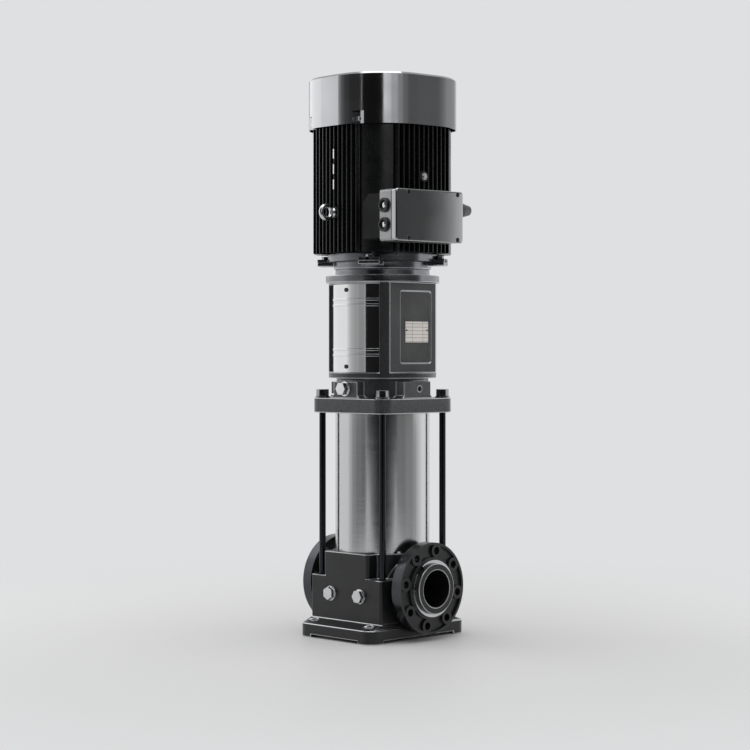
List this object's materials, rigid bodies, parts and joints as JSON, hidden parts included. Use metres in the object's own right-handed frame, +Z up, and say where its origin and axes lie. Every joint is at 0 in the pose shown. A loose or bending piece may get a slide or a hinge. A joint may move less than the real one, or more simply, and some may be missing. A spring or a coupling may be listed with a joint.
{
  "type": "vertical multistage booster pump",
  "caption": "Vertical multistage inline pump with swivelling port flanges, sleeve between tie rods, guarded coupling stool and a finned motor with fan cover and terminal box on top.",
  "frame": {"origin": "centre of the foot's underside, where the pump stands", "axes": "+Z up along the shaft, +X out of the discharge port, -Y out of the face with two plugs that the picture shows"},
  "size_m": [0.4128, 0.3696, 1.35],
  "materials": {
    "black_cast_iron": "black enamel over sand-cast iron, satin",
    "black_sheet": "black enamel on pressed steel, semi-gloss",
    "stainless_sleeve": "drawn stainless tube, satin with fine rings",
    "polished_guard": "bright rolled stainless sheet",
    "stainless_sheet": "pressed stainless sheet",
    "bright_steel": "bright zinc or stainless fasteners",
    "dark_steel": "black oxide screws",
    "ground_steel": "ground steel",
    "machined_iron": "turned cast iron",
    "core_sheet": "stacked electrical sheet",
    "plate_metal": "thin bare plate, satin",
    "bush_bronze": "turned bronze",
    "gasket_rubber": "matt rubber",
    "black_plastic": "moulded black plastic"
  },
  "bodies": {
    "pump_and_motor": {"bearing_outer_rings": "ground_steel", "bottom_bush": "bush_bronze", "cable_entry_plugs": "black_plastic", "cable_gland": "black_plastic", "drain_plugs": "bright_steel", "drive_end_shield": "black_cast_iron", "earth_screw": "bright_steel", "fan_cover": "black_sheet", "fan_cover_screws": "bright_steel", "fin_pads": "bright_steel", "flange_bolts": "bright_steel", "gauge_plug": "bright_steel", "guard_front": "polished_guard", "guard_rear": "polished_guard", "guard_screws": "bright_steel", "head_flange_plate": "black_cast_iron", "inlet_neck": "stainless_sheet", "lid_screws": "bright_steel", "lifting_eyebolt": "bright_steel", "motor_frame": "black_cast_iron", "motor_stool": "black_cast_iron", "outer_sleeve": "stainless_sleeve", "outlet_guide": "stainless_sheet", "pump_base": "black_cast_iron", "pump_head": "black_cast_iron", "rating_plate": "plate_metal", "rear_shield": "black_cast_iron", "retaining_rings": "bright_steel", "seal_housing": "stainless_sheet", "stage_chambers": "stainless_sheet", "stator_core": "core_sheet", "stool_screws": "dark_steel", "terminal_board": "black_plastic", "terminal_box": "black_cast_iron", "terminal_box_gasket": "gasket_rubber", "terminal_box_lid": "black_sheet", "tie_rod_nuts": "bright_steel", "tie_rod_washers": "bright_steel", "tie_rods": "bright_steel", "vent_plug": "bright_steel"},
    "rotor": {"pump_shaft": "ground_steel", "impellers": "stainless_sheet", "impeller_nuts": "bright_steel", "seal_rotor": "stainless_sheet", "coupling_halves": "machined_iron", "coupling_screws": "dark_steel", "motor_shaft": "ground_steel", "rotor_core": "core_sheet", "bearing_inner_rings": "ground_steel", "cooling_fan": "black_plastic"},
    "discharge_swivel": {"discharge_flange": "black_cast_iron"},
    "suction_swivel": {"suction_flange": "black_cast_iron"}
  },
  "joints": [
    {"name": "rotor_spin", "type": "hinge", "parent": "pump_and_motor", "child": "rotor", "pos_m": [0, 0, 0.785], "axis": [0, 0, 1], "continuous": true},
    {"name": "discharge_flange_turn", "type": "hinge", "parent": "pump_and_motor", "child": "discharge_swivel", "pos_m": [0, 0, 0.125], "axis": [1, 0, 0], "continuous": true},
    {"name": "suction_flange_turn", "type": "hinge", "parent": "pump_and_motor", "child": "suction_swivel", "pos_m": [0, 0, 0.125], "axis": [1, 0, 0], "continuous": true}
  ]
}
